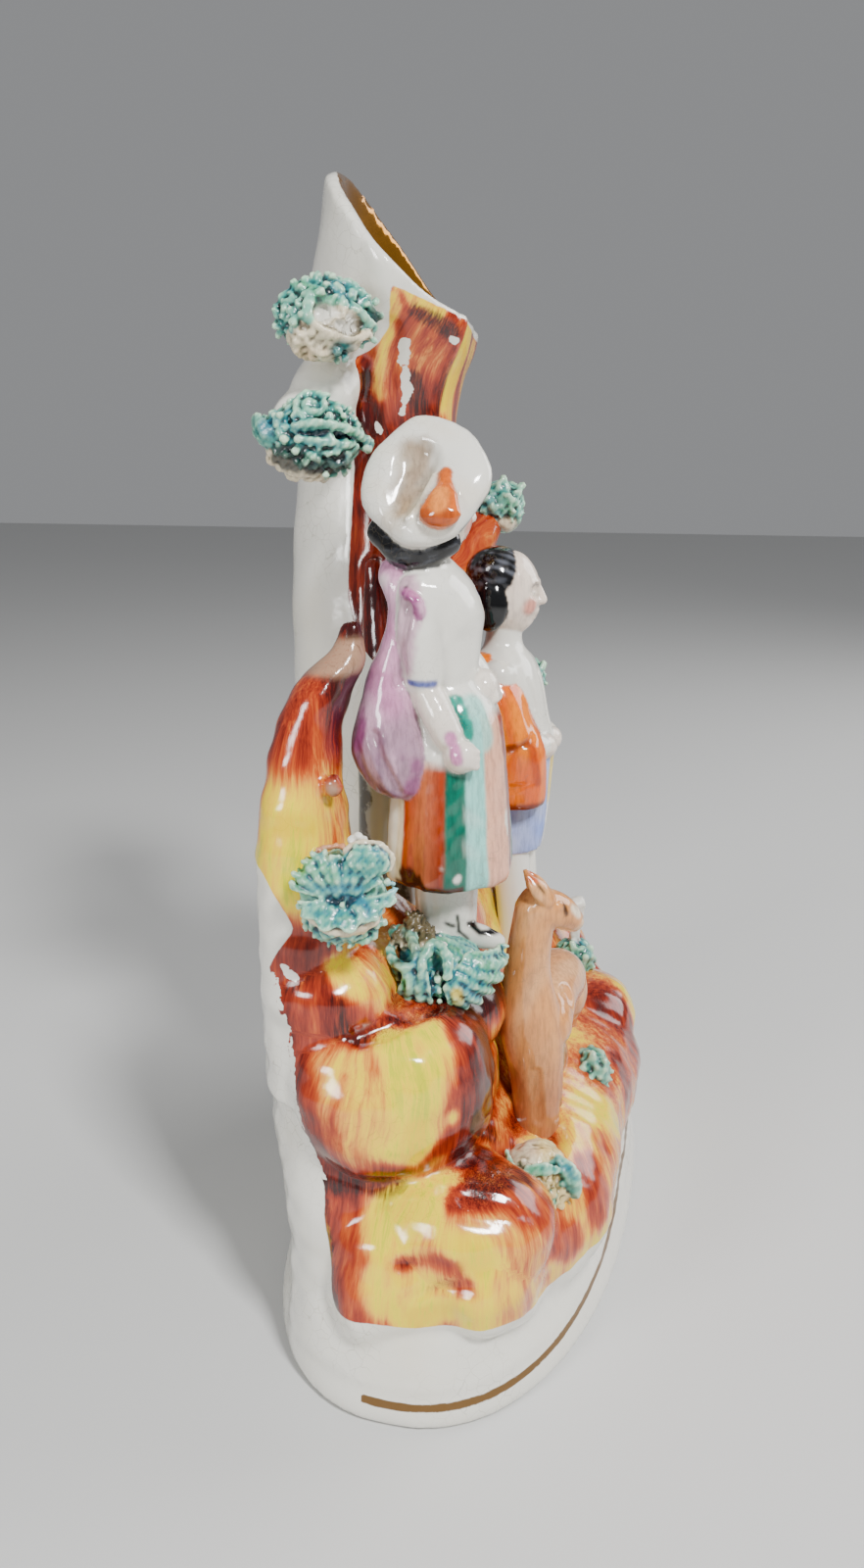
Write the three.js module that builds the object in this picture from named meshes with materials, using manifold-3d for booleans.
// Figural spill vase in glazed earthenware: a hollow tree trunk on a rocky mound, with a woman in a
// white hat, a man in a cloak and a doe. All of it is cast and fired as one piece, so it is one solid.
// Millimetres. +Z is up, the figures face -Y, and the origin is at the middle of the underside.
import * as THREE from 'three';
import Module from 'manifold-3d';

const wasm = await Module();
wasm.setup();

// Driving dimensions
const HEIGHT = 285;
const FOOT_LENGTH = 200;
const FOOT_DEPTH = 96;
const FOOT_CENTRE_Y = -2;
const FOOT_POWER = 2.3;
const WALL = 4.5;
const NECK_LEVEL = 222;
const LIP_LEVEL = 250;
const RIM_TILT = 3;
const WELL_FLOOR = 104;
const LADY = { x: -42, ground: 97, hem: 118, waist: 168, shoulder: 191, head: 206 };
const MAN = { x: 26, ground: 56, hem: 104, shoulder: 160, head: 180 };
const DOE = { x: -36, y: -27, feet: 37, back: 82, head: 108 };

// Small helpers
const { sin, cos, abs, sign, max, PI } = Math;
const radians = THREE.MathUtils.degToRad;
const point = (x, y, z) => new THREE.Vector3(x, y, z);
const swell = (angle, at, width) => {
  const away = abs(THREE.MathUtils.euclideanModulo(angle - at + PI, 2 * PI) - PI);
  return max(0, 1 - (away / width) ** 2) ** 2;
};

// A closed skin over rings of points, with a fan over the first ring and one over the last.
function skin(rings) {
  const sides = rings[0].length;
  const points = rings.flat();
  const faces = [];
  for (let ring = 0; ring + 1 < rings.length; ring++) {
    for (let side = 0; side < sides; side++) {
      const a = ring * sides + side;
      const b = ring * sides + (side + 1) % sides;
      faces.push(a, b, b + sides, a, b + sides, a + sides);
    }
  }
  const ends = [{ ring: rings[0], first: 0, out: false }];
  ends.push({ ring: rings.at(-1), first: points.length - sides, out: true });
  for (const end of ends) {
    const centre = end.ring.reduce((sum, p) => sum.add(p), point(0, 0, 0)).divideScalar(sides);
    const hub = points.push(centre) - 1;
    for (let side = 0; side < sides; side++) {
      const a = end.first + side;
      const b = end.first + (side + 1) % sides;
      faces.push(...(end.out ? [a, b, hub] : [b, a, hub]));
    }
  }
  return solid(points, faces);
}

// A solid from points and triangles, turned right side out.
function solid(points, faces) {
  const volume = (sum, i) => sum + points[faces[i]].dot(
    point(0, 0, 0).crossVectors(points[faces[i + 1]], points[faces[i + 2]]));
  const starts = Array.from({ length: faces.length / 3 }, (_, i) => 3 * i);
  if (starts.reduce(volume, 0) < 0) {
    faces.reverse();
  }
  const vertProperties = Float32Array.from(points.flatMap((p) => p.toArray()));
  const triVerts = Uint32Array.from(faces);
  return new wasm.Manifold(new wasm.Mesh({ numProp: 3, vertProperties, triVerts }));
}

// Level rings, one for each station of [z, x, y, half width, half depth].
// fold(angle, z) swells or pinches a ring, dip(angle) lowers its points, power above 2 squares it.
function stack(stations, { sides = 12, power = 2, fold = () => 1, dip = () => 0 } = {}) {
  return skin(stations.map(([z, x, y, halfWidth, halfDepth]) => (
    Array.from({ length: sides }, (_, side) => {
      const angle = 2 * PI * side / sides;
      const grow = fold(angle, z);
      const across = grow * halfWidth * sign(cos(angle)) * abs(cos(angle)) ** (2 / power);
      const along = grow * halfDepth * sign(sin(angle)) * abs(sin(angle)) ** (2 / power);
      return point(x + across, y + along, z - dip(angle));
    }))));
}

// A round limb along a curve, with a radius at each point and a rounded far end.
function limb(places, radii, sides = 6, steps = 2 * (places.length - 1)) {
  const path = new THREE.CatmullRomCurve3(places.map((p) => point(...p)));
  const along = new THREE.CatmullRomCurve3(radii.map((r, i) => point(r, 0, i)));
  const frames = path.computeFrenetFrames(steps, false);
  const ringAt = (centre, radius, step) => Array.from({ length: sides }, (_, side) => {
    const angle = 2 * PI * side / sides;
    return centre.clone()
      .addScaledVector(frames.normals[step], radius * cos(angle))
      .addScaledVector(frames.binormals[step], radius * sin(angle));
  });
  const rings = [];
  for (let step = 0; step <= steps; step++) {
    rings.push(ringAt(path.getPoint(step / steps), along.getPoint(step / steps).x, step));
  }
  const end = radii.at(-1);
  const cap = path.getPoint(1).addScaledVector(frames.tangents[steps], 0.6 * end);
  rings.push(ringAt(cap, 0.62 * end, steps));
  return skin(rings);
}

// An egg with three half sizes. A power above 2 squares it from top to bottom.
function egg(centre, [a, b, c], sides = 8, rows = 5, power = 2) {
  const rings = [];
  for (let row = 1; row < rows; row++) {
    const lift = -PI / 2 + PI * row / rows;
    const high = sign(sin(lift)) * abs(sin(lift)) ** (2 / power);
    const wide = cos(lift) ** (2 / power);
    rings.push(Array.from({ length: sides }, (_, side) => {
      const angle = 2 * PI * side / sides;
      return point(a * wide * cos(angle), b * wide * sin(angle), c * high).add(point(...centre));
    }));
  }
  return skin(rings);
}

const join = (pieces) => pieces.reduce((whole, piece) => whole.add(piece));

// Oval foot, and the core of the mound, which is flat and a little wavy behind
function foot() {
  const half = FOOT_LENGTH / 2;
  const depth = FOOT_DEPTH / 2;
  return stack([
    [0, 0, FOOT_CENTRE_Y, half - 1.5, depth - 1.5], [1.5, 0, FOOT_CENTRE_Y, half, depth],
    [6, 0, FOOT_CENTRE_Y, half - 0.8, depth - 0.8], [14, 0, FOOT_CENTRE_Y, half - 4, depth - 4],
    [24, 0, 1, half - 8, depth - 5], [42, -1, 9, 86, 36], [58, -3, 15, 81, 31],
    [76, -6, 19, 77, 26.5], [96, -9, 22.5, 71, 22.5], [108, -12, 25, 60, 18], [116, -13, 26, 48, 13]],
  { sides: 28, power: FOOT_POWER, fold: (angle, z) => 1 + (z > 10 ? 0.012 * sin(z / 6.5) : 0) });
}

// Rocks: a low tier that hangs over the foot all round the front, a boulder under the woman and
// lower ones under the man, and the bumps between them
function rocks() {
  const low = stack([
    [16, 0, -5, 87, 36], [19, 0, -5, 93, 41.5], [26, 0, -5, 96, 43.5], [35, 0, -5, 95, 43],
    [44, -1, -4, 90, 38], [50, -2, -2, 82, 30], [53, -3, 0, 70, 22]],
  { sides: 28, power: FOOT_POWER,
    fold: (angle) => 1 + 0.035 * sin(9 * angle + 0.6),
    dip: (angle) => 2.5 * sin(5 * angle) });
  const high = stack([
    [53, -62, 6, 15, 15], [57, -62, 6, 23, 22], [66, -63, 7, 26, 25], [77, -63, 8, 26, 25.5],
    [86, -62, 9, 23, 23], [92, -60, 10, 15, 16]],
  { sides: 16, fold: (angle, z) => 1 + 0.05 * sin(3 * angle + z / 12) });
  const bumps = [
    [[-68, 21, 94], [15, 16, 12]], [[-42, -2, 81], [19, 16, 13]], [[-40, -4, 62], [16, 12, 14]],
    [[-72, -12, 40], [20, 25, 15]], [[-38, -28, 30], [19, 15, 10]], [[-8, 7, 84], [20, 13, 18]],
    [[12, -30, 37], [20, 17, 12]], [[40, -28, 41], [22, 18, 14]], [[28, -8, 44], [27, 19, 15]],
    [[68, -4, 48], [23, 23, 18]], [[58, 16, 68], [22, 20, 18]],
  ];
  return [low, high, ...bumps.map(([centre, size]) => egg(centre, size, 10, 5, 2.2))];
}

// Side stumps: the left one is stout with a small cut knob, the right one thinner and bent forward
function stumps() {
  const left = stack([
    [70, -64, 24, 18, 14], [98, -64, 26, 16, 12.3], [126, -65, 26.5, 14.2, 11.2],
    [144, -63.5, 27, 12.6, 8.8], [157, -62, 26, 11.2, 7.7], [167, -60, 22.8, 9.6, 6.8],
    [172, -59, 19.4, 7, 5.8], [176.5, -57.5, 17.6, 3.6, 3.6], [182, -57, 17, 2.4, 2.3]]);
  const right = limb(
    [[60, 20, 62], [62, 19, 90], [63, 13, 122], [61, 1, 146]], [13.5, 12, 9, 6], 10);
  return [left, right];
}

// Tree trunk: rings that rise, above the neck, to a rim torn down from a back point to a front lip
function trunkRings(inset, top, from) {
  const stations = [
    [70, 26, 38, 22], [104, 27.5, 33, 22.5], [140, 28, 30, 22], [175, 28.5, 27.5, 21.5],
    [205, 28, 24, 21], [NECK_LEVEL, 26.5, 22.5, 20.3], [240, 25.5, 24, 19.5],
    [258, 23.5, 27.8, 19], [272, 20.8, 31, 18.6], [HEIGHT, 19, 33, 17.9],
  ].filter(([z]) => z >= from);
  return stations.map(([z, y, halfWidth, halfDepth]) => Array.from({ length: 20 }, (_, side) => {
    const angle = 2 * PI * side / 20;
    const flare = max(0, z - NECK_LEVEL) / (HEIGHT - NECK_LEVEL);
    const bark = 0.05 * swell(angle, radians(248), 0.5) * (1 + flare ** 2)
      + 0.05 * swell(angle, radians(196), 0.35) + 0.04 * swell(angle, radians(320), 0.4);
    const rim = LIP_LEVEL + (HEIGHT - LIP_LEVEL) * ((1 + sin(angle)) / 2) ** 1.35
      - RIM_TILT * cos(angle);
    const level = z > NECK_LEVEL ? NECK_LEVEL + flare * (rim + top - NECK_LEVEL) : z;
    return point(
      (halfWidth - inset) * (1 + bark) * cos(angle),
      y + (halfDepth - inset) * (1 + bark) * sin(angle), level);
  }));
}

function trunk() {
  const outer = trunkRings(0, 0, 0);
  return skin([...outer, trunkRings(WALL, 0, 0).at(-1)]);
}

// Room inside the trunk for the spills, open at the torn mouth
function well() {
  const rings = trunkRings(WALL, 6, WELL_FLOOR + 10);
  const floor = trunkRings(WALL + 1, 6, WELL_FLOOR)[0].map((p) => point(p.x * 0.85, p.y, WELL_FLOOR));
  return skin([floor, ...rings]);
}

// Branch stubs, the low ribs that tie the figures to the trunk, and the clay leaf clumps
function branches() {
  return [
    limb([[-12, 28, 236], [-26, 29, 243], [-37, 28, 248]], [8, 6.5, 5.5]),
    limb([[-12, 30, 224], [-26, 34, 225], [-37, 35, 223]], [11, 10, 7.5]),
    limb([[10, 18, 166], [27, 12, 185], [39, 5, 199]], [10, 7.5, 5]),
    limb([[12, 28, 226], [28, 27, 234], [38, 26, 239]], [8, 6.5, 5.5]),
    limb([[-70, 20, 118], [-79, 13, 123]], [8, 8]),
    limb([[-35, 15, 96], [-35, 15, 150], [-32, 18, 188]], [8, 7, 5]),
    limb([[23, 12, 60], [23, 12, 120], [21, 14, 166]], [9, 8, 6]),
  ];
}

function clump(centre, [a, b, c], turn) {
  const rings = [-0.72, -0.2, 0.35, 0.8].map((lift, row) => Array.from({ length: 10 }, (_, side) => {
    const angle = 2 * PI * side / 10;
    const wide = Math.sqrt(1 - lift * lift) * (1 + 0.12 * cos(5 * angle + PI * row));
    return point(a * wide * cos(angle), b * wide * sin(angle), c * lift * 1.1)
      .applyEuler(new THREE.Euler(...turn.map(radians))).add(point(...centre));
  }));
  return skin(rings);
}

function leaves() {
  const clumps = [
    [[-39, 28, 248], [12, 13, 10.5], [0, 0, 0]], [[-43, 30.5, 223], [12, 13.5, 12], [0, 0, 30]],
    [[-79, 12.5, 124], [9, 14.5, 14], [0, 20, 0]], [[-51, -3, 97], [14, 14, 9], [0, 0, 0]],
    [[-50, -30, 41], [11, 13, 11], [0, 0, 10]], [[-5, -36.5, 47], [8, 7.5, 9], [0, 0, 0]],
    [[50, -24, 57], [9, 9, 9], [0, 0, 0]], [[43, 2.5, 204], [9, 9, 9], [0, 0, 0]],
    [[60, -4, 148], [9, 9, 10], [0, 0, 0]], [[39, 26, 240], [11, 12, 10], [0, 0, 50]],
    [[78, 8, 88], [10, 12, 11], [0, 0, 0]],
  ];
  return clumps.map((place) => clump(...place));
}

// The woman: head turned away under a flat white hat, cloak over the near arm, ribbed skirt
function lady() {
  const { x, ground, hem, waist, shoulder, head } = LADY;
  const legs = [
    limb([[x - 4, 1, hem + 4], [x - 4, 1, ground]], [4, 3.3]),
    limb([[x + 4, -5, hem + 4], [x + 4, -5, ground]], [4, 3.3]),
    limb([[x - 4, 1, ground + 1], [x - 5, -8, ground]], [3, 2.4]),
    limb([[x + 4, -5, ground + 1], [x + 4, -13, ground]], [3, 2.4]),
    stack([[ground - 2, x, -2.5, 7, 7.2], [hem + 3, x, -2.5, 8, 8]], { sides: 10 }),
  ];
  const skirt = stack([
    [hem, x, -3, 16.5, 15.3], [hem + 3, x, -3, 17, 15.8], [hem + 18, x, -3, 16, 15],
    [hem + 36, x, -3.2, 14, 13], [waist - 6, x, -2.8, 11.5, 11], [waist, x, -1.5, 8.5, 7.8]],
  { sides: 20, fold: (angle, z) => 1 + 0.04 * sin(6 * angle + 0.8) * max(0, 1 - (z - hem) / 55) });
  const bodice = stack([
    [waist - 3, x, -1.5, 9, 8], [waist + 8, x, -1.6, 10.5, 8.6], [waist + 15, x, -1.2, 12, 9.6],
    [shoulder - 1, x, 1, 12.5, 8.6], [shoulder + 3, x, 2.6, 9, 6.5], [shoulder + 6, x, 3.5, 5.2, 5],
    [head - 3, x + 1, 4, 4.8, 4.8]], { sides: 9 });
  const face = egg([x + 4, 3, head], [9.5, 10, 11.5], 9, 7);
  const nose = limb([[x + 8, -4, head], [x + 9.5, -7.6, head - 2]], [1.6, 1.1], 5, 1);
  const roll = [
    egg([x + 1, 6.5, head - 4], [9.5, 9, 9], 10, 6),
    limb([[x - 4, 12.5, head - 4], [x - 7, 4, head - 8.5], [x - 4, -3.5, head - 6]], [4, 5, 3.6]),
  ];
  return [...legs, skirt, bodice, face, nose, ...roll, ...hat(), ...ladyArms(), ...ladyCloak()];
}

// Hat: a shallow cushion of a disc set on the back of the head, dimpled, with a bell-shaped plume
function hat() {
  const { x, head } = LADY;
  const profile = [
    [0, -3.5], [10, -3], [14.4, -1.2], [15.6, 1], [14.4, 3.2], [10, 4.8], [5, 4.6], [0, 3]];
  const rings = profile.slice(1, -1).map(([radius, level], row) => (
    Array.from({ length: 16 }, (_, side) => {
      const angle = 2 * PI * side / 16;
      const rim = radius * (1 + 0.03 * sin(4 * angle + 1));
      return point(rim * cos(angle), rim * sin(angle) * 0.94, level)
        .applyEuler(new THREE.Euler(0, radians(-62), radians(14)))
        .add(point(x - 5, 1.6, head + 6.5));
    })));
  const plume = stack([
    [head - 7, x - 12.5, -2.2, 2, 4.6], [head - 4, x - 13, -2.4, 3, 5], [head, x - 12, -2.8, 2.8, 3.8],
    [head + 4, x - 10.5, -3.2, 2.4, 2], [head + 9, x - 8.5, -3.4, 2.2, 1.6]], { sides: 10 });
  return [skin(rings), plume];
}

function ladyArms() {
  const { x, waist, shoulder } = LADY;
  return [
    limb([[x - 8, 2.5, shoulder - 2], [x - 10.5, 2, waist + 10], [x - 10, 1, waist]], [5.5, 5.2, 4.6]),
    limb([[x - 10, 1, waist - 1], [x - 9.5, -4, waist - 10], [x - 8.5, -8, waist - 16]], [4, 3.8, 4]),
    egg([x - 8, -9.5, waist - 17], [4, 4.6, 4.4]),
    limb([[x + 9, 2, shoulder - 2], [x + 12, 1, waist + 8], [x + 7, -8, waist - 1]], [5.2, 4.8, 3.6]),
    egg([x + 1, -11, waist - 3], [5, 4, 4.8]),
  ];
}

// Cloak: narrow behind the arm, with a frilled knob, then a hanging bag with upright folds
function ladyCloak() {
  const { x, waist, shoulder } = LADY;
  const bag = stack([
    [waist - 28, x - 11.5, 6.2, 2.6, 3.2], [waist - 25, x - 12, 7.4, 5, 6.5],
    [waist - 18, x - 12, 8.8, 6.6, 9.3], [waist - 12, x - 11.5, 9.4, 6.6, 8.5],
    [waist - 5, x - 10, 9.7, 6.2, 6.6], [waist + 2, x - 8, 9.4, 6.4, 5.4], [waist + 8, x - 7, 8, 6, 4],
    [waist + 16, x - 5.5, 6.8, 6.2, 3.6], [shoulder, x - 4, 8.1, 6.8, 5], [shoulder + 4, x - 3, 8.4, 5, 4.4]],
  { sides: 12, fold: (angle, z) => 1 + 0.04 * sin(5 * angle + 1) * max(0, 1 - (z - waist + 31) / 45) });
  return [bag, egg([x - 13, 1.5, shoulder - 6.5], [2.4, 2.8, 3.8])];
}

// The man: bare-headed, open shirt, cloak hanging over his right side, breeches and stockings
function man() {
  const { x, ground, hem, shoulder, head } = MAN;
  const coat = stack([
    [hem, x, -5, 13.5, 11.5], [hem + 8, x, -5.5, 13.5, 12], [hem + 20, x, -6.2, 13, 12.2],
    [hem + 31, x, -6.8, 12.6, 12.2], [hem + 40, x, -5.6, 13, 11.4], [shoulder - 7, x, -4.4, 14.2, 10.8],
    [shoulder, x, -3.6, 12.5, 9], [shoulder + 5, x, -3.2, 6.5, 5.8], [head - 8, x, -3.2, 5, 5]],
  { sides: 15, fold: (angle, z) => 1 + 0.03 * sin(5 * angle) * max(0, 1 - (z - hem) / 40) });
  const legs = [-6, 6].flatMap((side) => [
    limb([[x + side, -7, hem + 3], [x + side, -9, 80], [x + side, -7, ground]], [6, 5, 4]),
    limb([[x + side, -7, ground + 1], [x + side, -15, ground + 1]], [3.6, 3]),
  ]);
  const face = egg([x, -4.2, head], [9, 9.6, 12.2], 9, 7);
  const nose = limb([[x, -12, head + 1], [x, -14.6, head - 2.2]], [1.7, 1.3], 5, 1);
  const hair = [
    egg([x, -1, head + 3.5], [10.2, 10, 9.8], 10, 6), egg([x - 8.6, -0.5, head - 3], [3.4, 5.4, 7.5]),
    egg([x + 8.6, -0.5, head - 3], [3.4, 5.4, 7.5]), egg([x, 2, head - 3], [8.5, 5, 8])];
  const arms = [-1, 1].flatMap((side) => [
    limb([[x + side * 11, -4, shoulder - 2], [x + side * 12, -5, shoulder - 16],
      [x + side * 8, -16, shoulder - 24]], [5.2, 4.8, 3.8]),
    egg([x + side * 5, -17.5, shoulder - 24], [4, 3.2, 3.6])]);
  const cloak = stack([
    [hem + 15, x - 11, -9, 6.5, 6], [hem + 17, x - 11, -10, 8.8, 8.4], [hem + 27, x - 11, -9.5, 9.2, 9.3],
    [hem + 34, x - 11, -8.7, 9, 9], [hem + 41, x - 11, -6, 8.6, 8], [shoulder - 6, x - 10, -3.2, 7.6, 7.6],
    [shoulder, x - 8, 0, 5.5, 5.5], [shoulder + 3, x - 6, 1.5, 3.5, 3.5]],
  { sides: 11, fold: (angle, z) => 1 + 0.03 * sin(4 * angle + 0.08 * z) });
  return [coat, ...legs, face, nose, ...hair, ...arms, cloak];
}

// The doe stands along the rocks with her chest at the left end and her head turned to the front
function doe() {
  const { x, y, feet, back, head } = DOE;
  return [
    limb([[x + 2, y + 0.5, feet - 4], [x + 2, y + 1.6, 58], [x + 2, y + 3.4, 74], [x + 1, y + 4.6, 90],
      [x, y + 3, head]], [6, 7.2, 8.2, 5.6, 4.8], 9, 7),
    limb([[x + 4, y + 1, 73], [x + 18, y + 1.5, back - 7], [x + 34, y + 1.5, back - 9],
      [x + 44, y + 2, 67]], [8, 8, 8.6, 7], 9, 5),
    egg([x + 41, y + 1.5, 66], [8.4, 8.4, 11], 10, 5),
    limb([[x + 42, y + 1, 66], [x + 46, y + 1, 54], [x + 43, y + 1, feet - 2]], [6.8, 4.6, 4.2], 7, 3),
    egg([x + 23, y + 4, 52], [13, 8, 14]),
    limb([[x, y + 3, head + 1], [x + 4, y - 2, head - 1], [x + 8, y - 6, head - 4.5]],
      [5.6, 4.8, 3.1], 8, 3),
    ...[-1, 1].map((side) => limb([[x + 2.5 * side, y, head + 3],
      [x + 4 * side, y + 3, head + 6.5], [x + 4.4 * side, y + 6, head + 10]], [2.4, 2.7, 0.9], 6, 2)),
  ];
}

const body = join([
  foot(), ...rocks(), ...stumps(), trunk(), ...branches(), ...leaves(), ...lady(), ...man(), ...doe(),
]).subtract(well());

// Back to a three.js mesh, set down with the middle of its underside at the origin
const { vertProperties, triVerts } = body.getMesh();
const geometry = new THREE.BufferGeometry();
geometry.setAttribute('position', new THREE.BufferAttribute(vertProperties, 3));
geometry.setIndex(new THREE.BufferAttribute(triVerts, 1));
geometry.computeBoundingBox();
const middle = geometry.boundingBox.getCenter(point(0, 0, 0));
geometry.translate(-middle.x, -middle.y, -geometry.boundingBox.min.z);
geometry.computeVertexNormals();

const glaze = new THREE.MeshStandardMaterial({ color: '#e6e3da', roughness: 0.18, metalness: 0 });
const vase = new THREE.Mesh(geometry, glaze);
vase.name = 'spill_vase';

const group = new THREE.Group();
group.add(vase);

export default group;
